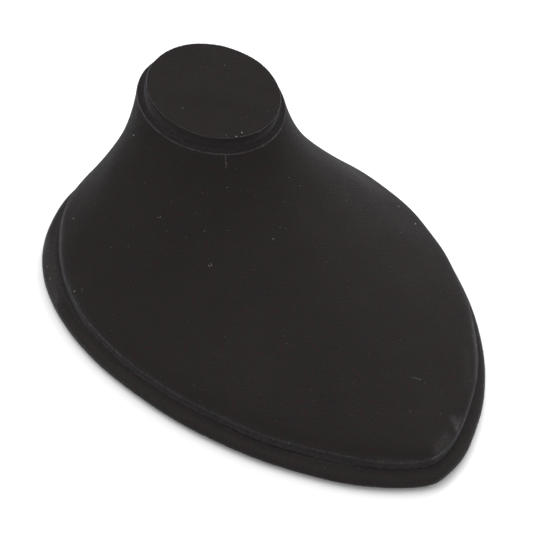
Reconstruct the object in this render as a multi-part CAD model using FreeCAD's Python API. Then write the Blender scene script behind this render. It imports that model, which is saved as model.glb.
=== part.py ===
import FreeCAD, Part
import math
import os
from FreeCAD import Vector

os.makedirs("parts", exist_ok=True)

# A low necklace bust: a shield-shaped base board and a hollow moulded bust on it, with a round neck
# cap, each wrapped in velvet. Sizes in millimetres, +Z up, the chest tip points to -Y, and the
# origin is on the floor under the middle of the base.

# Base outline
base_width = 160.0
base_length = 214.7
base_widest_y = 19.6          # how far behind the middle the base is widest
base_tip_fullness = 1.83      # 2 is an ellipse, less is slacker and more is squarer
base_side_fullness = 1.58
base_back_fullness = 2.05
base_back_side_fullness = 2.05

# Base layers, from the floor up
liner_thickness = 0.6
base_velvet_thickness = 0.8
base_board_thickness = 4.9
base_edge_radius = 3.0
liner_margin = 5.0            # bare hem left showing outside the liner
base_hem_width = 14.0

# Foot of the bust on the base
ledge_side = 5.0
ledge_front = 4.4
ledge_back = 6.4
rim_widest_y = 11.1
rim_tip_fullness = 1.75
rim_side_fullness = 1.53
rim_back_fullness = 2.11
rim_back_side_fullness = 2.16
rim_height = 3.3              # straight edge of the bust above the base

# Neck of the bust
neck_radius = 29.7
neck_setback = 49.4           # middle of the neck top ahead of the base's back edge
neck_height = 61.0            # middle of the neck top above the floor
neck_tilt = 12.5              # degrees, the top leans to the front
neck_roll_radius = 0.7

# Walls of the bust
bust_velvet_thickness = 0.9
bust_wall = 2.0
bust_foot_tuck = 9.0
bust_neck_tuck = 12.0

# Neck cap
cap_step = 2.9                # the cap stands back from the neck's edge
cap_velvet_thickness = 0.8
cap_board_thickness = 4.0
cap_edge_radius = 1.4
cap_hem_width = 8.0

# Rib of the flare from the foot's rim (0, 0) to the neck's edge (1, 1): poles as shares of the way
# inwards and of the way up. It stands straight at the rim, bends in, runs flat over the chest and turns up
# to the neck.
rib_poles = [(0.0, 0.0), (0.0, 0.075), (0.104, 0.130), (0.357, 0.249),
             (0.678, 0.458), (0.929, 0.717), (1.0, 1.0)]
rib_stations = 11
station_crowding = 1.25       # above 1, the loft's sections lie closer together near the rim
inner_foot_drop = 0.35        # an inner surface starts lower at the rim, by this share of its depth
inner_station_gap = 0.03      # its next section is at least this share of the rib in, for each mm of depth
outline_points = 48
largest_fillet_share = 0.45   # a fillet takes at most this share of its wall's height
overcut = 1.0                 # how far a cutting block stands out of what it cuts

# Levels and planes that follow from the sizes
hem_level = liner_thickness
board_level = hem_level + base_velvet_thickness
base_top = board_level + base_board_thickness + base_velvet_thickness
rim_level = base_top + rim_height
tilt = math.radians(neck_tilt)
neck_centre = Vector(0, base_length / 2 - neck_setback, neck_height)
neck_normal = Vector(0, -math.sin(tilt), math.cos(tilt))
neck_across = Vector(0, math.cos(tilt), math.sin(tilt))
cap_radius = neck_radius - cap_step


def shield_points(half_width, widest_y, front, back, fullness):
    """Points round a shield: two half super-ellipses that share their widest line."""
    tip, side, rear, rear_side = fullness
    points = []
    for i in range(outline_points):
        u = 2 * math.pi * i / outline_points
        across, along = math.cos(u), math.sin(u)
        reach, end, bow = (widest_y - front, tip, side) if along < 0 else (back - widest_y, rear, rear_side)
        x = math.copysign(half_width * abs(across) ** (2 / bow), across)
        y = widest_y + math.copysign(reach * abs(along) ** (2 / end), along)
        points.append(Vector(x, y, 0))
    return points


def inset_points(points, inset):
    """The same points moved square to their outline, inwards by inset."""
    moved = []
    for i, point in enumerate(points):
        run = points[(i + 1) % len(points)] - points[i - 1]
        inwards = Vector(-run.y, run.x, 0).normalize()
        moved.append(point + inwards * inset)
    return moved


def closed_wire(points):
    """One smooth closed curve through the points, evenly parametrised so that lofts stay light."""
    curve = Part.BSplineCurve()
    even = [float(i) for i in range(len(points) + 1)]
    curve.interpolate(Points=points, PeriodicFlag=True, Parameters=even)
    return Part.Wire(curve.toShape())


def slab(points, low, high):
    """Straight block between two levels, with the outline through the points."""
    face = Part.Face(closed_wire([Vector(p.x, p.y, low) for p in points]))
    return face.extrude(Vector(0, 0, high - low))


def base_outline(inset=0.0):
    """The base's edge, or a line inset from it."""
    fullness = (base_tip_fullness, base_side_fullness, base_back_fullness, base_back_side_fullness)
    points = shield_points(base_width / 2, base_widest_y, -base_length / 2, base_length / 2, fullness)
    return inset_points(points, inset)


def rim_outline(inset=0.0):
    """The bust's rim on the base, or a line inset from it."""
    fullness = (rim_tip_fullness, rim_side_fullness, rim_back_fullness, rim_back_side_fullness)
    points = shield_points(base_width / 2 - ledge_side, rim_widest_y, ledge_front - base_length / 2,
                           base_length / 2 - ledge_back, fullness)
    return inset_points(points, inset)


def inner_outline(width, outline):
    """A smaller copy of an outline, about width inside it all round, that keeps the tip open."""
    points = outline()
    low = min(p.y for p in points)
    high = max(p.y for p in points)
    half = max(p.x for p in points)
    middle = (low + high) / 2
    along = 1 - 2 * width / (high - low)
    return [Vector(p.x * (1 - width / half), middle + (p.y - middle) * along, 0) for p in points]


# Rib of the flare
rib = Part.BSplineCurve()
rib_knots = list(range(len(rib_poles) - 2))
rib_repeats = [4] + [1] * (len(rib_poles) - 4) + [4]
rib.buildFromPolesMultsKnots([Vector(a, b, 0) for a, b in rib_poles], rib_repeats, rib_knots, False, 3)


def neck_outline(radius):
    """Points round the neck's top, each facing the rim point of the same number."""
    points = []
    for i in range(outline_points):
        u = 2 * math.pi * i / outline_points
        sideways = Vector(radius * math.cos(u), 0, 0)
        points.append(neck_centre + sideways + neck_across * (radius * math.sin(u)))
    return points


def rib_points(share):
    """The ring of points on the bust's outside at a share of the ribs."""
    at = rib.value(rib.LastParameter * share)
    return [Vector(foot.x + at.x * (top.x - foot.x), foot.y + at.x * (top.y - foot.y),
                   rim_level + at.y * (top.z - rim_level))
            for foot, top in zip(rim_outline(), neck_outline(neck_radius))]


def flare_section(share, depth):
    """Closed section of the bust at a share of the ribs, depth inside its outer surface."""
    if share == 0:
        return [Vector(p.x, p.y, rim_level - depth * inner_foot_drop) for p in rim_outline(depth)]
    if share == 1:
        return neck_outline(neck_radius - depth)
    step = 0.002
    ring, lower, upper = rib_points(share), rib_points(share - step), rib_points(share + step)
    section = []
    for i, point in enumerate(ring):
        round_way = ring[(i + 1) % outline_points] - ring[i - 1]
        outwards = round_way.cross(upper[i] - lower[i]).normalize()
        section.append(point - outwards * depth)
    return section


def bust_block(depth, foot_level, top_drop):
    """Solid bust, depth inside the outer surface, from foot_level to top_drop under the neck's top."""
    stations = [(i / rib_stations) ** station_crowding for i in range(rib_stations + 1)]
    shares = [s for s in stations if s == 0 or s > depth * inner_station_gap]
    flare = Part.makeLoft([closed_wire(flare_section(s, depth)) for s in shares], True, False)
    foot = slab(rim_outline(depth), foot_level, rim_level - depth * inner_foot_drop)
    block = flare.fuse(foot).removeSplitter()
    if top_drop > 0:
        block = block.cut(neck_disc(neck_radius + overcut, -top_drop, overcut))
    return block


def neck_disc(radius, low, high):
    """Round disc square to the neck's axis, between two heights over the neck's top."""
    return Part.makeCylinder(radius, high - low, neck_centre + neck_normal * low, neck_normal)


# Base board: the stiff shield under everything, with both edges rounded
def make_base_board():
    board = slab(base_outline(base_velvet_thickness), board_level, board_level + base_board_thickness)
    radius = min(base_edge_radius - base_velvet_thickness, base_board_thickness * largest_fillet_share)
    return board.makeFillet(radius, [e for e in board.Edges if level_edge(e)])


def level_edge(edge):
    """True for an edge that lies in one level."""
    box = edge.BoundBox
    return box.ZLength < 0.01 and box.XLength > 1


# Base velvet: stretched over the board, round its edge and glued under it as a hem
def make_base_velvet(board):
    wrap = slab(base_outline(), hem_level, base_top)
    radius = min(base_edge_radius, (base_top - hem_level) * largest_fillet_share)
    wrap = wrap.makeFillet(radius, [e for e in wrap.Edges if level_edge(e)])
    window = slab(inner_outline(base_hem_width, base_outline), hem_level - overcut, board_level)
    return wrap.cut(board).cut(window)


# Base liner: a thin felt glued under the board, over the hem's raw edge and up into its window
def make_base_liner():
    border = slab(inner_outline(liner_margin, base_outline), 0, liner_thickness)
    middle = slab(inner_outline(base_hem_width, base_outline), 0, board_level)
    hollow = slab(inner_outline(base_hem_width + liner_thickness, base_outline), -overcut,
                  board_level - liner_thickness)
    return border.fuse(middle).cut(hollow).removeSplitter()


# Bust form: one moulded shell, closed at the neck and open underneath
def make_bust_form():
    outside = bust_block(bust_velvet_thickness, base_top + bust_velvet_thickness, bust_velvet_thickness)
    inner_depth = bust_velvet_thickness + bust_wall
    return outside.cut(bust_block(inner_depth, base_top - overcut, inner_depth))


# Bust velvet: stretched over the form, tucked under its foot and over the edge of its neck
def make_bust_velvet():
    outside = bust_block(0, base_top, 0)
    neck = [e for e in outside.Edges if on_neck_plane(e)]
    outside = outside.makeFillet(neck_roll_radius, neck)
    form = bust_block(bust_velvet_thickness, base_top + bust_velvet_thickness, bust_velvet_thickness)
    foot_window = slab(inner_outline(bust_foot_tuck, rim_outline), base_top - overcut,
                       base_top + bust_velvet_thickness)
    neck_window = neck_disc(neck_radius - bust_neck_tuck, -bust_velvet_thickness, overcut)
    return outside.cut(form).cut(foot_window).cut(neck_window)


def on_neck_plane(edge):
    """True for an edge that lies in the plane of the neck's top."""
    points = edge.discretize(9)
    return all(abs((p - neck_centre).dot(neck_normal)) < 0.01 for p in points)


# Cap board: the round disc under the cap's velvet
def make_cap_board():
    radius = cap_radius - cap_velvet_thickness
    disc = neck_disc(radius, cap_velvet_thickness, cap_velvet_thickness + cap_board_thickness)
    return disc.makeFillet(cap_edge_radius - cap_velvet_thickness, circles(disc, radius))


def circles(disc, radius):
    """The edges of a disc that are circles of this radius."""
    round_edges = [e for e in disc.Edges if isinstance(e.Curve, Part.Circle)]
    return [e for e in round_edges if abs(e.Curve.Radius - radius) < 0.001]


# Cap velvet: over the disc's top and side, gathered under it as a hem that rests on the neck
def make_cap_velvet(board):
    wrap = neck_disc(cap_radius, 0, cap_board_thickness + 2 * cap_velvet_thickness)
    wrap = wrap.makeFillet(cap_edge_radius, circles(wrap, cap_radius))
    window = neck_disc(cap_radius - cap_hem_width, -overcut, cap_velvet_thickness)
    return wrap.cut(board).cut(window)


base_board = make_base_board()
cap_board = make_cap_board()
pieces = {
    "base_liner": make_base_liner(),
    "base_board": base_board,
    "base_velvet": make_base_velvet(base_board),
    "bust_form": make_bust_form(),
    "bust_velvet": make_bust_velvet(),
    "cap_board": cap_board,
    "cap_velvet": make_cap_velvet(cap_board),
}
for name, shape in pieces.items():
    shape.exportStep("parts/%s.step" % name)
    print(name, "valid", shape.isValid(), "solids", len(shape.Solids), "volume", round(shape.Volume, 1))
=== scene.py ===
import math

import bmesh
import bpy
import numpy as np
from mathutils import Matrix, Vector
from mathutils.bvhtree import BVHTree


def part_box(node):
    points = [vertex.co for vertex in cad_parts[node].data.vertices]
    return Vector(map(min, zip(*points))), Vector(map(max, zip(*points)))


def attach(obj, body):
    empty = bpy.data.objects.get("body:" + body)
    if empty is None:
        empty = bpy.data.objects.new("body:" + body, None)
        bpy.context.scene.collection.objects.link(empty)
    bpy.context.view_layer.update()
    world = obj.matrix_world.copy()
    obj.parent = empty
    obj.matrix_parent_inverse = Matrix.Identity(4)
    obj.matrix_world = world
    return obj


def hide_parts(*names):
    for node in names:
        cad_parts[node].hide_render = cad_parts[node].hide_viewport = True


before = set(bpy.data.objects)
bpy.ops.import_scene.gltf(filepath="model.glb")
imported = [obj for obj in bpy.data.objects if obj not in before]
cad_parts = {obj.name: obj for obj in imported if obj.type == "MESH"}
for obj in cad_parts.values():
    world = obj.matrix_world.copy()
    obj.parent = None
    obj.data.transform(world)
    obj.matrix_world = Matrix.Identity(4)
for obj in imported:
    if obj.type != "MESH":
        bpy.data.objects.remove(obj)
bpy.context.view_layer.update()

# Where the stand is seen from: above the chest's left front, turned a little in the picture. The
# angles and distances were fitted to the outline, the rim lines and the two circles of the neck.
picture_side = 533
focal_pixels = 1402.2
sensor_width = 36.0
camera_azimuth = math.radians(-34.77)
camera_elevation = math.radians(38.46)
camera_roll = math.radians(6.23)
camera_distance = 0.5661
camera_right = 0.00935
camera_up = 0.00125
aim_behind_middle = 0.02418

towards_camera = Vector((math.sin(camera_azimuth) * math.cos(camera_elevation),
                         -math.cos(camera_azimuth) * math.cos(camera_elevation),
                         math.sin(camera_elevation)))
level_right = Vector((math.cos(camera_azimuth), math.sin(camera_azimuth), 0))
level_up = towards_camera.cross(level_right)
picture_right = level_right * math.cos(camera_roll) + level_up * math.sin(camera_roll)
picture_up = level_up * math.cos(camera_roll) - level_right * math.sin(camera_roll)
camera_place = (Vector((0, aim_behind_middle, 0)) + towards_camera * camera_distance
                + picture_right * camera_right + picture_up * camera_up)

camera_data = bpy.data.cameras.new("photo_camera")
camera_data.sensor_width = sensor_width
camera_data.lens = focal_pixels / picture_side * sensor_width
camera = bpy.data.objects.new("photo_camera", camera_data)
bpy.context.scene.collection.objects.link(camera)
camera_turn = Matrix((picture_right, picture_up, towards_camera)).transposed().to_4x4()
camera.matrix_world = Matrix.Translation(camera_place) @ camera_turn
bpy.context.scene.camera = camera


# Base velvet: black pile velvet stretched over the shield-shaped board, pulled round its rounded
# edge and glued under it as a hem. Only its edge and the ledge round the bust are seen.
base_low, base_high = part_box("base_velvet")
base_half_width = base_high[0]
base_front, base_back = base_low[1], base_high[1]
base_bottom, base_top = base_low[2], base_high[2]
base_widest_y = 0.0196
base_fullness = (1.83, 1.58, 2.05, 2.05)
base_edge_radius = 0.0030
base_velvet_thickness = 0.0008
base_hem_width = 0.014
outline_points = 48
ring_points = 400


def shield_outline(half_width, widest_y, front, back, fullness):
    """Points round a shield: across is half_width times the cosine to the power 2 / side fullness, and
    along is the reach before or behind the widest line times the sine to the power 2 / end fullness."""
    tip, side, rear, rear_side = fullness
    rounding = 1e-12
    turn = 2 * np.pi * np.arange(outline_points) / outline_points
    across, along = np.cos(turn), np.sin(turn)
    ahead = along < -rounding
    bow = np.where(ahead, side, rear_side)
    end = np.where(ahead, tip, rear)
    reach = np.where(ahead, widest_y - front, back - widest_y)
    x = np.sign(across) * half_width * np.abs(across) ** (2 / bow)
    y = widest_y + np.sign(along) * reach * np.abs(along) ** (2 / end)
    return np.stack([x, y], axis=1)


def inset_outline(points, inset):
    """The points moved inwards by inset, square to the line through each point's two neighbours."""
    run = np.roll(points, -1, axis=0) - np.roll(points, 1, axis=0)
    run /= np.linalg.norm(run, axis=1, keepdims=True)
    return points + np.stack([-run[:, 1], run[:, 0]], axis=1) * inset


def inner_outline(points, width):
    """A smaller copy of an outline, scaled so that it lies about width inside it all round."""
    low, high = points[:, 1].min(), points[:, 1].max()
    middle = (low + high) / 2
    across = 1 - width / points[:, 0].max()
    along = 1 - 2 * width / (high - low)
    return np.stack([points[:, 0] * across, middle + (points[:, 1] - middle) * along], axis=1)


def level_row(points, level):
    """An outline as a row of points in space, all at one level."""
    return np.column_stack([points, np.full(len(points), level)])


def rounded_rows(rows, points):
    """Rows of even points read as smooth closed curves at more places: the cubic B-spline through the
    points, whose poles are found by dividing in frequency by the spline's weights 2/3, 1/6 and 1/6."""
    rows = np.array(rows)
    count = rows.shape[1]
    weights = np.zeros(count)
    weights[[0, 1, -1]] = 2 / 3, 1 / 6, 1 / 6
    poles = np.fft.ifft(np.fft.fft(rows, axis=1) / np.fft.fft(weights)[None, :, None], axis=1).real
    away = np.arange(points)[:, None] * count / points - np.arange(count)[None, :]
    away = np.abs((away + count / 2) % count - count / 2)
    bell = np.where(away < 1, 2 / 3 - away ** 2 + away ** 3 / 2,
                    np.where(away < 2, (2 - away) ** 3 / 6, 0))
    return np.einsum("pc,rcx->rpx", bell, poles)


def outward_normals(rows):
    """Unit normals of rows of points: the way round a row crossed with the way from row to row."""
    shortest = 1e-15
    round_way = np.roll(rows, -1, axis=1) - np.roll(rows, 1, axis=1)
    normals = np.cross(round_way, np.gradient(rows, axis=0))
    length = np.linalg.norm(normals, axis=2, keepdims=True)
    return normals / np.maximum(length, shortest)


def soft_waves(places, seed, shortest, longest, height):
    """Soft unevenness at each place: the sum of a dozen cosines of seeded random directions, phases and
    wavelengths from shortest to longest, of about the given height."""
    dice = np.random.default_rng(seed)
    count = 12
    heading = dice.normal(size=(count, 3))
    heading /= np.linalg.norm(heading, axis=1, keepdims=True)
    pace = heading * (2 * np.pi / dice.uniform(shortest, longest, (count, 1)))
    phase = dice.uniform(0, 2 * np.pi, count)
    return np.cos(places @ pace.T + phase).sum(axis=-1) * height / math.sqrt(count / 2)


def skin_mesh(name, rows, gap_after=None):
    """A closed skin. Strips of quads join each row of points to the next and the last row to the first,
    apart from the strip after the row gap_after, where two poles lie on each other's far side."""
    count, points = rows.shape[:2]
    first = np.array([row for row in range(count) if row != gap_after])[:, None]
    second = (first + 1) % count
    here = np.arange(points)[None, :]
    there = np.roll(here, -1, axis=1)
    quads = np.stack([first * points + here, first * points + there,
                      second * points + there, second * points + here], axis=2)
    mesh = bpy.data.meshes.new(name)
    mesh.from_pydata(rows.reshape(-1, 3), [], quads.reshape(-1, 4).tolist())
    return mesh


def cloth_skin(name, rows, thickness, inner_rows, pole=False):
    """A closed skin of cloth: the rows of its outside, then its inside, which is the rows numbered in
    inner_rows moved in by thickness. With pole, the last row is one point in the middle."""
    inside = rows[inner_rows]
    normals = outward_normals(inside[::-1])[::-1] * -1
    if pole:
        middle = normals[-2].mean(axis=0)
        normals[-1] = middle / np.linalg.norm(middle)
    inside = (inside - normals * thickness)[::-1]
    return skin_mesh(name, np.concatenate([rows, inside]), len(rows) - 1 if pole else None)


def finished_piece(name, mesh, material):
    """A piece of the stand from a mesh: doubled points merged, faces turned outwards and shaded smooth,
    apart from sharp corners."""
    doubled = 1e-7
    corner = math.radians(60)
    work = bmesh.new()
    work.from_mesh(mesh)
    bmesh.ops.remove_doubles(work, verts=work.verts, dist=doubled)
    bmesh.ops.recalc_face_normals(work, faces=work.faces)
    work.to_mesh(mesh)
    work.free()
    mesh.polygons.foreach_set("use_smooth", np.ones(len(mesh.polygons), dtype=bool))
    mesh.set_sharp_from_angle(angle=corner)
    mesh.materials.append(material)
    piece = bpy.data.objects.new(name, mesh)
    bpy.context.scene.collection.objects.link(piece)
    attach(piece, "root")
    return piece


def linked(tree, kind, settings, *sources):
    """A new shader node with the given input values, fed by the sources: pairs of input and output."""
    node = tree.nodes.new(kind)
    for socket, value in settings.items():
        node.inputs[socket].default_value = value
    for socket, output in sources:
        tree.links.new(output, node.inputs[socket])
    return node


def noise(tree, place, size, detail, roughness):
    """A noise from about 0.25 to 0.75 whose largest features are about size metres across."""
    settings = {"Scale": 1 / size, "Detail": detail, "Roughness": roughness}
    return linked(tree, "ShaderNodeTexNoise", settings, ("Vector", place)).outputs["Fac"]


def spread(tree, value, low, high):
    """A noise value stretched so that its usual range from 0.3 to 0.7 becomes low to high."""
    settings = {"From Min": 0.3, "From Max": 0.7, "To Min": low, "To Max": high}
    return linked(tree, "ShaderNodeMapRange", settings, ("Value", value)).outputs["Result"]


def product(tree, one, other):
    """Two values multiplied."""
    node = linked(tree, "ShaderNodeMath", {}, (0, one), (1, other))
    node.operation = "MULTIPLY"
    return node.outputs["Value"]


def mixed(tree, share, first, second):
    """The colour on the way from the first to the second by a share. Each is a fixed colour or an output."""
    node = tree.nodes.new("ShaderNodeMix")
    node.data_type = "RGBA"
    tree.links.new(share, node.inputs["Factor"])
    for socket, colour in (("A", first), ("B", second)):
        if isinstance(colour, bpy.types.NodeSocket):
            tree.links.new(colour, node.inputs[socket])
        else:
            node.inputs[socket].default_value = colour
    return node.outputs["Result"]


def matt_material(name, roughness):
    """A new material: itself, its node tree, its shader, and the place on the piece that patterns read."""
    material = bpy.data.materials.new(name)
    material.use_nodes = True
    tree = material.node_tree
    shader = tree.nodes["Principled BSDF"]
    shader.inputs["Roughness"].default_value = roughness
    place = tree.nodes.new("ShaderNodeTexCoord").outputs["Object"]
    return material, tree, shader, place


def pile_velvet(name, black, sheen):
    """Short black pile. Its ground is almost black, of uneven dye, cloudy where the pile leans about and
    grained by the tips of the fibres. The bump is small tufts. Sheen lights the pile where it is seen
    edge on. Where the point attribute of painted light and wear rises from 0 to 1, the ground turns to
    a paler grey: painted highlight and painted sheen along folds and rims, painted light in corners
    where shade falls, and real paler wear where the pile was brushed."""
    brightest = 3.0
    warm_dye = (1.13, 0.96, 0.92)
    cool_dye = (0.87, 1.04, 1.08)
    tuft_size = 0.0007
    tuft_height = 0.00025
    material, tree, shader, place = matt_material(name, roughness=0.95)
    shader.inputs["Specular IOR Level"].default_value = 0.05
    shader.inputs["Sheen Weight"].default_value = sheen
    shader.inputs["Sheen Roughness"].default_value = pile_sheen_roughness
    shader.inputs["Sheen Tint"].default_value = pile_sheen_tint

    clouds = spread(tree, noise(tree, place, size=0.030, detail=6, roughness=0.75), low=0.92, high=1.09)
    tips = spread(tree, noise(tree, place, size=0.0012, detail=2, roughness=0.6), low=0.95, high=1.05)
    depth = product(tree, clouds, tips)
    shade = linked(tree, "ShaderNodeMapRange", {"From Max": brightest}, ("Value", depth)).outputs["Result"]
    uneven = spread(tree, noise(tree, place, size=0.0018, detail=2, roughness=0.6), low=0, high=1)
    warm = [brightest * colour * tint for colour, tint in zip(black, warm_dye)] + [1]
    cool = [brightest * colour * tint for colour, tint in zip(black, cool_dye)] + [1]
    dyed = mixed(tree, uneven, warm, cool)
    ground = mixed(tree, shade, (0, 0, 0, 1), dyed)
    # Painted light and wear: the ground turns towards a paler grey where the attribute rises.
    lit_and_worn = tree.nodes.new("ShaderNodeAttribute")
    lit_and_worn.attribute_name = "pile_light_and_wear"
    patchy = spread(tree, noise(tree, place, size=0.0013, detail=3, roughness=0.8), low=0.3, high=1.7)
    ground_lit_and_worn = mixed(tree, product(tree, lit_and_worn.outputs["Fac"], patchy), ground, light_and_wear_colour)
    tree.links.new(ground_lit_and_worn, shader.inputs["Base Color"])

    tufts = linked(tree, "ShaderNodeTexVoronoi", {"Scale": 1 / tuft_size}, ("Vector", place))
    nap = linked(tree, "ShaderNodeBump", {"Strength": 1.0, "Distance": tuft_height},
                 ("Height", tufts.outputs["Distance"]))
    tree.links.new(nap.outputs["Normal"], shader.inputs["Normal"])
    return material


def store_light_and_wear(mesh, strength):
    """Writes the share of painted light and wear, from 0 to 1, into the mesh's point attribute that the
    pile's material reads: row by row at the mesh's first points, and 0 at the rest."""
    values = np.zeros(len(mesh.vertices))
    values[:strength.size] = strength.ravel()
    mesh.attributes.new("pile_light_and_wear", "FLOAT", "POINT").data.foreach_set("value", values)


def near_fold(rows, fold, reach):
    """1 on the fold, falling to almost 0 at twice reach from it: the bell curve of each point's distance
    from the fold's point of the same number."""
    return np.exp(-(np.linalg.norm(rows - fold, axis=2) / reach) ** 2)


def surface_tree(mesh):
    """A mesh made ready for finding where a line of sight meets it."""
    return BVHTree.FromPolygons([corner.co for corner in mesh.vertices],
                                [face.vertices[:] for face in mesh.polygons])


def sight_line(pixel):
    """The direction from the camera through a pixel of the photo."""
    across, down = pixel
    return (picture_right * (across - picture_side / 2) + picture_up * (picture_side / 2 - down)
            - towards_camera * focal_pixels).normalized()


def streak_near_line(mesh, rows, start_pixel, end_pixel, width):
    """The bell curve of each point's distance from the straight line between the two places on the mesh
    that are seen at two pixels of the photo."""
    tree = surface_tree(mesh)
    start, end = [np.array(tree.ray_cast(camera_place, sight_line(pixel))[0])
                  for pixel in (start_pixel, end_pixel)]
    run = end - start
    share = np.clip((rows - start) @ run / (run @ run), 0, 1)
    return np.exp(-(np.linalg.norm(rows - start - share[..., None] * run, axis=2) / width) ** 2)


def light_and_wear_shares(mesh, rows, painted_rows, streaks):
    """How much paler the ground is at each point, from 0 to 1, as painted light and as wear: the sum of
    the bell curves round each painted row and each streak, times its strength. A painted row, along a
    fold or in a corner, is its strength, its row and its reach. A streak is its strength, the pixels
    where it starts and ends, and its width."""
    # The paleness: painted highlight along folds and painted light in corners, then wear and painted sheen
    # along streaks.
    apart = np.zeros(rows.shape[:2])
    for strength, fold, reach in painted_rows:
        apart += strength * near_fold(rows, fold, reach)
    for strength, start_pixel, end_pixel, width in streaks:
        apart += strength * streak_near_line(mesh, rows, start_pixel, end_pixel, width)
    return np.clip(apart, 0, 1)


def splayed_pile(name, rows, count, longest, seed):
    """Loose fibres at random places on rows of points. Each is a three-sided spike: three points round its
    root, turned by thirds, and a tip that stands along the surface's normal, leaning at random."""
    thinnest = 0.6
    shortest = 0.35
    last_row = len(rows) - 1.001
    dice = np.random.default_rng(seed)
    down = dice.uniform(0, last_row, count)
    round_way = dice.integers(0, rows.shape[1], count)
    row = down.astype(int)
    share = (down % 1)[:, None]
    beside = (round_way + 1) % rows.shape[1]
    along = dice.uniform(0, 1, (count, 1))

    def between(grid):
        """The grid's values at the fibres' places, mixed along and across the four points round each."""
        near = grid[row, round_way] * (1 - along) + grid[row, beside] * along
        far = grid[row + 1, round_way] * (1 - along) + grid[row + 1, beside] * along
        return near * (1 - share) + far * share

    root = between(rows)
    outwards = between(outward_normals(rows)) + dice.normal(0, fibre_lean, (count, 3))
    outwards /= np.linalg.norm(outwards, axis=1, keepdims=True)
    first = np.cross(outwards, dice.normal(size=(count, 3)))
    first /= np.linalg.norm(first, axis=1, keepdims=True)
    second = np.cross(outwards, first)
    turn = 2 * np.pi / 3 * np.arange(3)[None, :, None]
    width = dice.uniform(thinnest, 1, (count, 1, 1)) * fibre_width / 2
    ring = (root - outwards * fibre_width)[:, None] + width * (np.cos(turn) * first[:, None]
                                                               + np.sin(turn) * second[:, None])
    tip = root + outwards * dice.uniform(shortest, 1, (count, 1)) * longest
    points = np.concatenate([ring, tip[:, None]], axis=1).reshape(-1, 3)
    faces = np.array([(0, 1, 3), (1, 2, 3), (2, 0, 3), (2, 1, 0)])
    faces = (4 * np.arange(count)[:, None, None] + faces).reshape(-1, 3)
    mesh = bpy.data.meshes.new(name)
    mesh.from_pydata(points, [], faces.tolist())
    return mesh


def fibre_stuff(name, grey):
    """The sides of single pile fibres: grey, from 0.6 to 1.4 times as light from place to place."""
    darker = [0.6 * grey * tint for tint in fibre_tint] + [1]
    lighter = [1.4 * grey * tint for tint in fibre_tint] + [1]
    material, tree, shader, place = matt_material(name, roughness=0.7)
    shader.inputs["Specular IOR Level"].default_value = 0.3
    mottling = spread(tree, noise(tree, place, size=0.004, detail=3, roughness=0.6), low=0, high=1)
    tree.links.new(mixed(tree, mottling, darker, lighter), shader.inputs["Base Color"])
    return material


def every_third(rows):
    """The numbers of every third row, and of the last."""
    numbers = list(range(0, len(rows), 3))
    if numbers[-1] != len(rows) - 1:
        numbers.append(len(rows) - 1)
    return numbers


base_black = (0.0182, 0.0156, 0.0150)
base_sheen = 0.235
pile_sheen_tint = (0.83, 0.86, 1.0, 1)
pile_sheen_roughness = 0.25
# The paler grey of painted light, painted highlight and painted sheen, and of worn pile.
light_and_wear_colour = (0.060, 0.056, 0.058, 1)
fibre_lean = 0.3
fibre_width = 0.00007
fibre_tint = (0.99, 0.98, 1.05)
base_edge_grey = 0.07

hem_edge = 1.5 * base_edge_radius
ledge_start = 1.3 * base_edge_radius
ledge_end = 0.0100
base_hem_rows = 5
base_bend_rows = 17
base_ledge_rows = 9
base_top_shares = (0.2, 0.35, 0.5, 0.65, 0.8, 0.9)
# Painted sheen: a paler streak along the base's left edge.
base_sheen_streaks = [(0.28, (46, 240), (56, 300), 0.0020)]

base_outline = shield_outline(base_half_width, base_widest_y, base_front, base_back, base_fullness)
base_rows = [level_row(inner_outline(base_outline, width), base_bottom)
             for width in np.linspace(base_hem_width, hem_edge, base_hem_rows)]
for bend in np.linspace(-np.pi / 2, np.pi / 2, base_bend_rows):
    middle = base_bottom + base_edge_radius if bend < 0 else base_top - base_edge_radius
    base_rows.append(level_row(inset_outline(base_outline, base_edge_radius * (1 - math.cos(bend))),
                               middle + base_edge_radius * math.sin(bend)))
ledge_first = len(base_rows)
base_rows += [level_row(inset_outline(base_outline, width), base_top)
              for width in np.linspace(ledge_start, ledge_end, base_ledge_rows)]
base_rows += [level_row(inner_outline(base_outline, base_half_width * share), base_top)
              for share in base_top_shares]
base_rows.append(np.tile([0, (base_front + base_back) / 2, base_top], (outline_points, 1)))
base_rows = rounded_rows(base_rows, ring_points)
edge_sway = soft_waves(base_rows, seed=3, shortest=0.012, longest=0.045, height=0.00012)
above_hem = base_rows[..., 2] > base_bottom + base_edge_radius / 4
base_rows += outward_normals(base_rows) * (edge_sway * above_hem)[..., None]
base_rows[-1] = base_rows[-1].mean(axis=0)

base_skin = cloth_skin("base_velvet_wrap", base_rows, base_velvet_thickness, every_third(base_rows),
                       pole=True)
fold_level = base_top - 0.3 * base_edge_radius
base_fold = base_rows[np.argmin(np.abs(base_rows[:ledge_first, 0, 2] - fold_level))]
ledge_crease = base_rows[ledge_first + 1]
# Painted highlight along the bend round the board's edge, and painted light where the ledge meets the bust's
# foot, where shade falls.
base_painted_light_rows = [(0.04, base_fold, 0.0012), (0.25, ledge_crease, 0.0016)]
store_light_and_wear(base_skin, light_and_wear_shares(base_skin, base_rows, base_painted_light_rows, base_sheen_streaks))
base_piece = finished_piece("base_velvet_wrap", base_skin, pile_velvet("base_pile", base_black, base_sheen))
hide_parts("base_velvet")

# Where the velvet bends round the board its fibres spread, and single ones stand out.
base_edge_rows = base_rows[base_hem_rows + base_bend_rows // 4:ledge_first - 2]
base_edge_fibres = splayed_pile("base_edge_pile", base_edge_rows, count=9000, longest=0.0006, seed=21)
base_edge_pile = finished_piece("base_edge_pile", base_edge_fibres,
                                fibre_stuff("base_edge_fibres", base_edge_grey))


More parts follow.
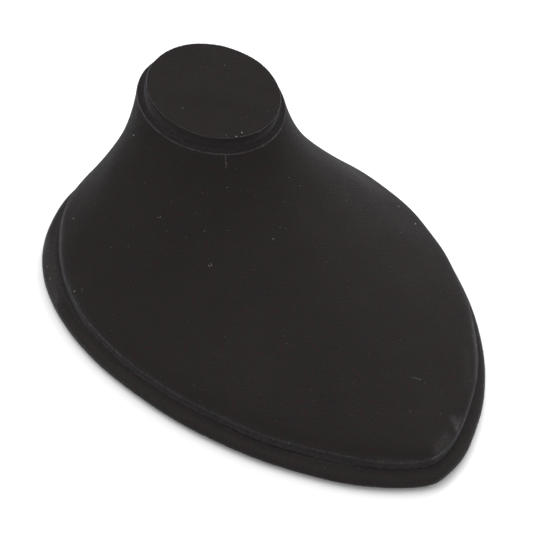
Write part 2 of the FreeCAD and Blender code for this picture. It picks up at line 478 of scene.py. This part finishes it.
# Base board and cap board: stiff grey millboard, pressed from recycled fibre and cut to shape. Each is
# wrapped in its velvet, which is glued to it.
board_pale = (0.30, 0.28, 0.25)
board_dark = (0.15, 0.14, 0.13)


def millboard(name, pale, dark):
    """Pressed fibre board: a pale ground flecked by darker fibres, with a faint rough bump."""
    material, tree, shader, place = matt_material(name, roughness=0.9)
    fleck = noise(tree, place, size=0.0020, detail=8, roughness=0.75)
    ground = mixed(tree, spread(tree, fleck, low=0, high=1), dark + (1,), pale + (1,))
    tree.links.new(ground, shader.inputs["Base Color"])
    rough = linked(tree, "ShaderNodeBump", {"Strength": 0.3, "Distance": 0.0002}, ("Height", fleck))
    tree.links.new(rough.outputs["Normal"], shader.inputs["Normal"])
    return material


grey_millboard = millboard("grey_millboard", board_pale, board_dark)
for node in ("base_board", "cap_board"):
    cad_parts[node].data.materials.clear()
    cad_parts[node].data.materials.append(grey_millboard)


# Base liner: thin black felt glued under the base, over the hem's raw edge. Inside the hem it is
# pressed up against the board.
liner_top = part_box("base_liner")[1][2]
liner_thickness = 0.0006
liner_margin = 0.005
liner_shares = (0.8, 0.6, 0.4, 0.3)
felt_dark = (0.010, 0.010, 0.011, 1)
felt_pale = (0.040, 0.038, 0.037, 1)


def black_felt(name):
    """Thin pressed felt: matted short fibres as one twisted noise, in colour and in bump."""
    material, tree, shader, place = matt_material(name, roughness=1.0)
    shader.inputs["Sheen Weight"].default_value = 0.03
    twisted = {"Scale": 900, "Detail": 6, "Distortion": 1.6}
    matted = linked(tree, "ShaderNodeTexNoise", twisted, ("Vector", place)).outputs["Fac"]
    ground = mixed(tree, spread(tree, matted, low=0, high=1), felt_dark, felt_pale)
    tree.links.new(ground, shader.inputs["Base Color"])
    rough = linked(tree, "ShaderNodeBump", {"Strength": 0.4, "Distance": 0.0002}, ("Height", matted))
    tree.links.new(rough.outputs["Normal"], shader.inputs["Normal"])
    return material


liner_edge = inner_outline(base_outline, liner_margin)
window_below = inner_outline(base_outline, base_hem_width + liner_thickness)
window_above = inner_outline(base_outline, base_hem_width)
liner_middle = [0, (base_front + base_back) / 2]
liner_rows = [np.tile(liner_middle + [liner_top - liner_thickness], (outline_points, 1))]
liner_rows += [level_row(inner_outline(base_outline, base_half_width * share), liner_top - liner_thickness)
               for share in liner_shares]
liner_rows += [level_row(window_below, liner_top - liner_thickness), level_row(window_below, 0),
               level_row(liner_edge, 0), level_row(liner_edge, liner_thickness),
               level_row(window_above, liner_thickness), level_row(window_above, liner_top)]
liner_rows += [level_row(inner_outline(base_outline, base_half_width * share), liner_top)
               for share in reversed(liner_shares)]
liner_rows += [np.tile(liner_middle + [liner_top], (outline_points, 1))]
liner_rows = rounded_rows(liner_rows, ring_points // 2)
liner_skin = skin_mesh("base_liner_felt", liner_rows, gap_after=len(liner_rows) - 1)
liner_piece = finished_piece("base_liner_felt", liner_skin, black_felt("liner_felt"))
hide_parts("base_liner")


# Bust form: one thin hollow shell of tough moulded pulp, closed at the neck and open underneath. It
# gives the stand its shape and is hidden under the velvet.
pulp_pale = (0.10, 0.09, 0.08)
pulp_dark = (0.05, 0.045, 0.04)
moulded_pulp = millboard("moulded_pulp", pulp_pale, pulp_dark)
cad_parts["bust_form"].data.materials.clear()
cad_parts["bust_form"].data.materials.append(moulded_pulp)


# Bust velvet: one piece of the same velvet, drawn tight over the moulded bust, tucked under its foot
# and over the edge of its neck. The flare runs in ribs from the foot's rim to the round neck.
ledge_side = 0.0050
ledge_front = 0.0044
ledge_back = 0.0064
rim_widest_y = 0.0111
rim_fullness = (1.75, 1.53, 2.11, 2.16)
rim_height = 0.0033
neck_radius = 0.0297
neck_setback = 0.0494
neck_height = 0.0610
neck_tilt = math.radians(12.5)
neck_roll = 0.0008
neck_roll_rows = 7
neck_tuck = 0.012
neck_tuck_rows = 8
foot_tuck = 0.009
foot_tuck_edge = 0.0025
foot_tuck_rows = 4
foot_roll = 0.0004
foot_roll_rows = 7
bust_velvet_thickness = 0.0009
rib_poles = np.array([(0.0, 0.0), (0.0, 0.075), (0.104, 0.130), (0.357, 0.249),
                      (0.678, 0.458), (0.929, 0.717), (1.0, 1.0)])
rib_rows = 96
rib_crowding = 1.4
left_for_the_roll = 0.0075
bust_black = (0.0153, 0.0131, 0.0126)
bust_sheen = 0.104
rim_grey = 0.105
neck_grey = 0.21
# Paler worn patches brushed into the pile at the tip, and a streak along the rim in front.
bust_wear_and_sheen_streaks = [(0.40, (454, 420), (458, 429), 0.0016),
                  (0.32, (461, 418), (456, 430), 0.0008),
                  (0.25, (438, 449), (448, 438), 0.0022),
                  (0.10, (381, 461), (412, 463), 0.0013),
                  # Painted sheen: paler streaks along the rim's right and left sides.
                  (0.08, (466, 350), (468, 386), 0.0016),
                  (0.40, (67, 204), (62, 222), 0.0010),
                  (0.40, (62, 222), (60.5, 246), 0.0010),
                  (0.30, (60.5, 246), (63, 268), 0.0010),
                  (0.35, (472, 322), (475.5, 345), 0.0010),
                  (0.25, (475.5, 345), (475.5, 375), 0.0010)]
rim_level = base_top + rim_height
neck_centre = np.array([0, base_back - neck_setback, neck_height])
neck_normal = np.array([0, -math.sin(neck_tilt), math.cos(neck_tilt)])
neck_across = np.array([0, math.cos(neck_tilt), math.sin(neck_tilt)])


def clamped_spline(poles, shares):
    """Points at shares from 0 to 1 of a cubic B-spline with even knots, which starts at its first pole
    and ends at its last. The weights grow degree by degree from the knot span that holds the place."""
    spans = len(poles) - 3
    last_place = spans - 1e-9
    knots = np.concatenate([np.zeros(3), np.arange(spans + 1), np.full(3, spans)]).astype(float)
    place = np.minimum(np.asarray(shares, float)[:, None] * spans, last_place)
    weights = ((knots[:-1] <= place) & (place < knots[1:])).astype(float)
    for degree in (1, 2, 3):
        count = len(knots) - 1 - degree
        rise = knots[degree:degree + count] - knots[:count]
        fall = knots[degree + 1:degree + 1 + count] - knots[1:1 + count]
        up = (place - knots[:count]) / np.where(rise > 0, rise, 1)
        down = (knots[degree + 1:degree + 1 + count] - place) / np.where(fall > 0, fall, 1)
        weights = up * weights[:, :count] + down * weights[:, 1:1 + count]
    return weights @ poles


def neck_row(radius, height):
    """A circle round the neck's axis, at a height over the neck's top."""
    turn = 2 * np.pi * np.arange(outline_points) / outline_points
    sideways = np.stack([np.cos(turn), np.zeros(outline_points), np.zeros(outline_points)], axis=1)
    return (neck_centre + neck_normal * height
            + radius * (sideways + np.sin(turn)[:, None] * neck_across))


rim_outline = shield_outline(base_half_width - ledge_side, rim_widest_y, base_front + ledge_front,
                             base_back - ledge_back, rim_fullness)
foot_row = level_row(rim_outline, rim_level)
top_row = neck_row(neck_radius, 0)


def rows_of_ribs(shares):
    """Rows of the flare: each point goes from its rim point to its neck point as its rib does."""
    way = clamped_spline(rib_poles, shares)
    weights = np.stack([way[:, 0], way[:, 0], way[:, 1]], axis=1)[:, None, :]
    return foot_row + weights * (top_row - foot_row)


bust_rows = [level_row(inner_outline(rim_outline, width), base_top)
             for width in np.linspace(foot_tuck, foot_tuck_edge, foot_tuck_rows)]
for bend in np.linspace(-np.pi / 2, 0, foot_roll_rows):
    bust_rows.append(level_row(inset_outline(rim_outline, foot_roll * (1 - math.cos(bend))),
                               base_top + foot_roll * (1 + math.sin(bend))))
foot_top = len(bust_rows) - 1
bust_rows.append(level_row(rim_outline, (base_top + foot_roll + rim_level) / 2))
flare_first = len(bust_rows)
bust_rows += list(rows_of_ribs(np.linspace(0, 1, rib_rows) ** rib_crowding * (1 - left_for_the_roll)))
flare_end = len(bust_rows)
roll_start = bust_rows[-1]
roll_end = neck_row(neck_radius - neck_roll, 0)
for way in np.linspace(0, 1, neck_roll_rows + 1)[1:]:
    bust_rows.append((1 - way) ** 2 * roll_start + 2 * way * (1 - way) * top_row + way ** 2 * roll_end)
neck_first = len(bust_rows)
tuck_radii = np.linspace(neck_radius - neck_roll, neck_radius - neck_tuck, neck_tuck_rows + 1)[1:]
bust_rows += [neck_row(radius, 0) for radius in tuck_radii]
bust_rows = rounded_rows(bust_rows, ring_points)
pull = soft_waves(bust_rows, seed=7, shortest=0.020, longest=0.070, height=0.00016)
row_numbers = np.arange(len(bust_rows))
open_cloth = (row_numbers >= foot_top - 1) & (row_numbers < neck_first)
bust_rows += outward_normals(bust_rows) * (pull * open_cloth[:, None])[..., None]

# The skin's inside has fewer rows than its outside: the ends of the tuck and of the foot's roll, every
# fifth row of the flare, and three at the neck.
bust_inner_rows = [0, foot_tuck_rows - 1, foot_top]
bust_inner_rows += list(range(flare_first + 2, flare_end - 1, 5))
bust_inner_rows += [flare_end + 2, neck_first + 3, len(bust_rows) - 1]
bust_skin = cloth_skin("bust_velvet_wrap", bust_rows, bust_velvet_thickness, bust_inner_rows)

# The ground is paled as painted highlight along the neck's fold and as painted sheen just over the rim,
# and as painted light in the foot's corner and in the corner under the cap, where shade falls. It is
# paler where the photo shows the pile brushed near the tip, and paler as painted sheen along the rim's
# left and right sides.
over_rim = [0, 0, 0.0008]
bust_painted_light_rows = [(0.12, bust_rows[flare_end + neck_roll_rows // 2], 0.0004),
              (0.06, bust_rows[flare_first] + over_rim, 0.0014),
              (0.32, bust_rows[foot_tuck_rows + foot_roll_rows // 2], 0.0024),
              (0.65, bust_rows[neck_first + 2], 0.0026)]
store_light_and_wear(bust_skin, light_and_wear_shares(bust_skin, bust_rows, bust_painted_light_rows, bust_wear_and_sheen_streaks))
bust_piece = finished_piece("bust_velvet_wrap", bust_skin, pile_velvet("bust_pile", bust_black, bust_sheen))
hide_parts("bust_velvet")

# Single fibres stand out of the velvet just over the rim and along the neck's fold.
rim_fibres = splayed_pile("rim_pile", bust_rows[flare_first:flare_first + 8], count=20000, longest=0.0005,
                          seed=23)
rim_pile = finished_piece("rim_pile", rim_fibres, fibre_stuff("rim_fibres", rim_grey))
neck_fibres = splayed_pile("neck_pile", bust_rows[flare_end + 2:flare_end + 5], count=6500,
                           longest=0.00045, seed=24)
neck_pile = finished_piece("neck_pile", neck_fibres, fibre_stuff("neck_fibres", neck_grey))


# Cap velvet: a disc of the velvet over the neck's round board, drawn down its side and gathered
# under it, where it is glued to the neck.
cap_step = 0.0029
cap_height = 0.0056
cap_edge_radius = 0.0008
cap_velvet_thickness = 0.0008
cap_hem_width = 0.008
cap_hem_edge = 0.002
cap_hem_rows = 4
cap_foot_roll = 0.0003
cap_bend_rows = 17
cap_top_shares = np.linspace(0.92, 0.1, 12)
cap_radius = neck_radius - cap_step
cap_grey = 0.15

hem_radii = np.linspace(cap_radius - cap_hem_width, cap_radius - cap_hem_edge, cap_hem_rows)
cap_rows = [neck_row(radius, 0) for radius in hem_radii]
for bend in np.linspace(-np.pi / 2, np.pi / 2, cap_bend_rows):
    roll = cap_foot_roll if bend < 0 else cap_edge_radius
    middle = cap_foot_roll if bend < 0 else cap_height - cap_edge_radius
    cap_rows.append(neck_row(cap_radius - roll * (1 - math.cos(bend)), middle + roll * math.sin(bend)))
cap_top_first = len(cap_rows)
cap_rows += [neck_row(cap_radius * share, cap_height) for share in cap_top_shares]
cap_rows.append(neck_row(0, cap_height))
cap_rows = rounded_rows(cap_rows, ring_points)
cap_pull = soft_waves(cap_rows, seed=11, shortest=0.010, longest=0.040, height=0.00008)
above_neck = (cap_rows - neck_centre) @ neck_normal > cap_edge_radius / 2
cap_rows += neck_normal * (cap_pull * above_neck)[..., None]
cap_rows[-1] = cap_rows[-1].mean(axis=0)

cap_skin = cloth_skin("cap_velvet_wrap", cap_rows, cap_velvet_thickness, every_third(cap_rows),
                      pole=True)
# Painted highlight: the ground is paled along the middle of the bend round the disc's top edge. Painted
# light: it is paled in the corner at the disc's foot, where shade falls.
cap_fold = cap_hem_rows + 12
cap_corner = cap_hem_rows + 6
cap_painted_light_rows = [(0.06, cap_rows[cap_fold], 0.0004), (0.30, cap_rows[cap_corner], 0.0030)]
store_light_and_wear(cap_skin, light_and_wear_shares(cap_skin, cap_rows, cap_painted_light_rows, streaks=[]))
cap_piece = finished_piece("cap_velvet_wrap", cap_skin, pile_velvet("cap_velvet", bust_black, bust_sheen))
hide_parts("cap_velvet")

# Single fibres stand out along the bend.
cap_fibres = splayed_pile("cap_edge_pile", cap_rows[cap_fold:cap_fold + 3], count=4500, longest=0.00045,
                          seed=25)
cap_pile = finished_piece("cap_edge_pile", cap_fibres, fibre_stuff("cap_fibres", cap_grey))


# Dust and lint: pale specks, a few curled fibres and two hairs caught on the pile, each where the photo
# shows it, and finer dust strewn over the bust, the ledge and the cap. All of it lies on the velvet.
speck_pixels = [(103.8, 199.5), (166.7, 231), (204.5, 231), (196.7, 212.8), (111.2, 247), (225, 65.3),
                (226.2, 135), (260, 131.7), (236.7, 168.2), (288.7, 177.8), (299.8, 185.7), (284.7, 202),
                (346.6, 201.5), (280, 227.4), (273, 239), (400.6, 232.6), (227, 187.5), (425, 383),
                (410, 411.6), (379, 413.5), (471, 380.5), (194, 385), (57, 293)]
bright_speck_pixels = [(73.8, 218.6), (241.9, 132.8), (236.3, 136.7), (398.8, 206.7), (415.3, 224),
                       (47.4, 267), (50, 279), (134, 135.3), (74.8, 291.3)]
curl_pixels = [(182, 108), (159, 216.7), (210, 265), (82, 290)]
hair_pixels = [[(226, 156), (225.2, 160), (226.3, 164), (225.8, 168)],
               [(412, 377.5), (416, 378.3), (421, 380)]]
speck_size = 0.00024
bright_speck_size = 0.00050
dust_size = 0.00012
dust_count = 420
curl_radius = 0.00055
curl_turn = 1.4 * np.pi
curl_points = 14
hair_width = 0.00006
hair_points = 15
lint_grey = (0.12, 0.115, 0.11, 1)
lint_white = (0.50, 0.47, 0.43, 1)
lint_skins = [surface_tree(wrap.data) for wrap in (base_piece, bust_piece, cap_piece)]


def seen_place(pixel):
    """The nearest place on the velvet seen at a pixel of the photo, and the surface's normal there."""
    hits = [skin.ray_cast(camera_place, sight_line(pixel)) for skin in lint_skins]
    place, normal, _, _ = min((hit for hit in hits if hit[0]), key=lambda hit: hit[3])
    return np.array(place), np.array(normal)


def specks(places, normals, sizes):
    """Eight-sided grains on the velvet: two points across each of three square directions, each half a
    grain's size from its middle, but one direction along the cloth drawn out 0.8 to 1.8 times. A quarter
    of a grain's height is sunk in the cloth."""
    first = np.cross(normals, lint_dice.normal(size=normals.shape))
    first /= np.linalg.norm(first, axis=1, keepdims=True)
    second = np.cross(normals, first)
    half = sizes[:, None] / 2
    long_half = half * lint_dice.uniform(0.8, 1.8, half.shape)
    middle = places + normals * half / 2
    points = np.stack([middle + first * long_half, middle + second * half, middle - first * long_half,
                       middle - second * half, middle + normals * half, middle - normals * half], axis=1)
    faces = np.array([(0, 1, 4), (1, 2, 4), (2, 3, 4), (3, 0, 4),
                      (1, 0, 5), (2, 1, 5), (3, 2, 5), (0, 3, 5)])
    return points.reshape(-1, 3), (6 * np.arange(len(places))[:, None, None] + faces).reshape(-1, 3)


def thread(path, normal):
    """A four-sided fibre along a path of points on a surface with this normal: at each point of the path
    a square on its corner, as wide as a hair from corner to corner, with both ends closed."""
    way = np.gradient(path, axis=0)
    side = np.cross(way, normal)
    side /= np.linalg.norm(side, axis=1, keepdims=True)
    rise = np.cross(side, way)
    rise /= np.linalg.norm(rise, axis=1, keepdims=True)
    middle = path + rise * hair_width / 2
    ring = np.stack([middle + side * hair_width / 2, middle + rise * hair_width / 2,
                     middle - side * hair_width / 2, middle - rise * hair_width / 2], axis=1)
    start = 4 * np.arange(len(path) - 1)[:, None]
    here = np.arange(4)[None, :]
    there = np.roll(here, -1, axis=1)
    sides = np.stack([start + here, start + there, start + 4 + there, start + 4 + here], axis=2)
    last = 4 * (len(path) - 1)
    ends = [[3, 2, 1, 0], [last, last + 1, last + 2, last + 3]]
    return ring.reshape(-1, 3), sides.reshape(-1, 4).tolist() + ends


def pale_lint(name):
    """Lint and dust: grey to warm white, changing from grain to grain."""
    material, tree, shader, place = matt_material(name, roughness=0.9)
    from_grain_to_grain = spread(tree, noise(tree, place, size=0.003, detail=2, roughness=0.6), low=0, high=1)
    tree.links.new(mixed(tree, from_grain_to_grain, lint_grey, lint_white), shader.inputs["Base Color"])
    return material


lint_dice = np.random.default_rng(31)
speck_seats = [seen_place(pixel) for pixel in speck_pixels + bright_speck_pixels]
dusty_rows = [(bust_rows, flare_first + 2, flare_end), (base_rows, ledge_first - 4, ledge_first + 4),
              (cap_rows, cap_top_first, cap_top_first + 9)]
dust_rows = np.concatenate([rows[first:end] for rows, first, end in dusty_rows])
dust_normals = np.concatenate([outward_normals(rows)[first:end] for rows, first, end in dusty_rows])
dust_row = lint_dice.integers(0, len(dust_rows), dust_count)
dust_point = lint_dice.integers(0, ring_points, dust_count)
speck_places = np.concatenate([[place for place, _ in speck_seats], dust_rows[dust_row, dust_point]])
speck_normals = np.concatenate([[normal for _, normal in speck_seats], dust_normals[dust_row, dust_point]])
speck_sizes = np.concatenate([np.full(len(speck_pixels), speck_size),
                              np.full(len(bright_speck_pixels), bright_speck_size),
                              dust_size * lint_dice.uniform(0.6, 1.4, dust_count)])
lint_points, lint_faces = specks(speck_places, speck_normals, speck_sizes)
lint_parts = [(lint_points, lint_faces.tolist())]
for pixel in curl_pixels:
    place, normal = seen_place(pixel)
    first = np.cross(normal, lint_dice.normal(size=3))
    first /= np.linalg.norm(first)
    second = np.cross(normal, first)
    turn = np.linspace(0, curl_turn, curl_points)[:, None]
    curl = place + curl_radius * (np.cos(turn) * first + np.sin(turn) * second)
    lint_parts.append(thread(curl, normal))
for pixels in hair_pixels:
    seats = [seen_place(pixel) for pixel in pixels]
    stops = np.linspace(0, len(seats) - 1, hair_points)
    path = np.stack([np.interp(stops, np.arange(len(seats)), [place[axis] for place, _ in seats])
                     for axis in range(3)], axis=1)
    lint_parts.append(thread(path, seats[0][1]))
lint_mesh = bpy.data.meshes.new("lint")
lint_starts = np.cumsum([0] + [len(points) for points, _ in lint_parts])
lint_mesh.from_pydata(np.concatenate([points for points, _ in lint_parts]), [],
                      [[int(start) + corner for corner in face]
                       for start, (_, faces) in zip(lint_starts, lint_parts) for face in faces])
lint_piece = finished_piece("lint", lint_mesh, pale_lint("pale_lint"))


# Floor and light: a wide white sweep, lit evenly from all round, as the photo's white background shows.
# One soft light stands behind the stand at the right, and one hangs over it.
floor_reach = 3.0
floor_white = (0.92, 0.92, 0.92, 1)
floor_roughness = 0.9
sky_white = (1, 1, 1, 1)
sky_strength = 1.0
floor_mesh = bpy.data.meshes.new("floor")
floor_mesh.from_pydata([(-floor_reach, -floor_reach, 0), (floor_reach, -floor_reach, 0),
                        (floor_reach, floor_reach, 0), (-floor_reach, floor_reach, 0)], [], [(0, 1, 2, 3)])
floor = bpy.data.objects.new("floor", floor_mesh)
bpy.context.scene.collection.objects.link(floor)
floor_paint = bpy.data.materials.new("floor_paint")
floor_paint.use_nodes = True
floor_shader = floor_paint.node_tree.nodes["Principled BSDF"]
floor_shader.inputs["Base Color"].default_value = floor_white
floor_shader.inputs["Roughness"].default_value = floor_roughness
floor_mesh.materials.append(floor_paint)

world = bpy.data.worlds.new("studio")
bpy.context.scene.world = world
world.use_nodes = True
world.node_tree.nodes["Background"].inputs["Color"].default_value = sky_white
world.node_tree.nodes["Background"].inputs["Strength"].default_value = sky_strength
bpy.context.scene.view_settings.view_transform = "Standard"


def softbox(name, place, size, power):
    """A square soft light at a place, turned to face the stand."""
    data = bpy.data.lights.new(name, "AREA")
    data.size = size
    data.energy = power
    light = bpy.data.objects.new(name, data)
    light.location = place
    light.rotation_mode = "QUATERNION"
    light.rotation_quaternion = (-Vector(place)).to_track_quat("-Z", "Y")
    bpy.context.scene.collection.objects.link(light)


softbox("right_softbox", place=(0.85, 0.65, 0.55), size=0.7, power=10)
softbox("top_softbox", place=(-0.4, 0.2, 1.3), size=1.0, power=7)
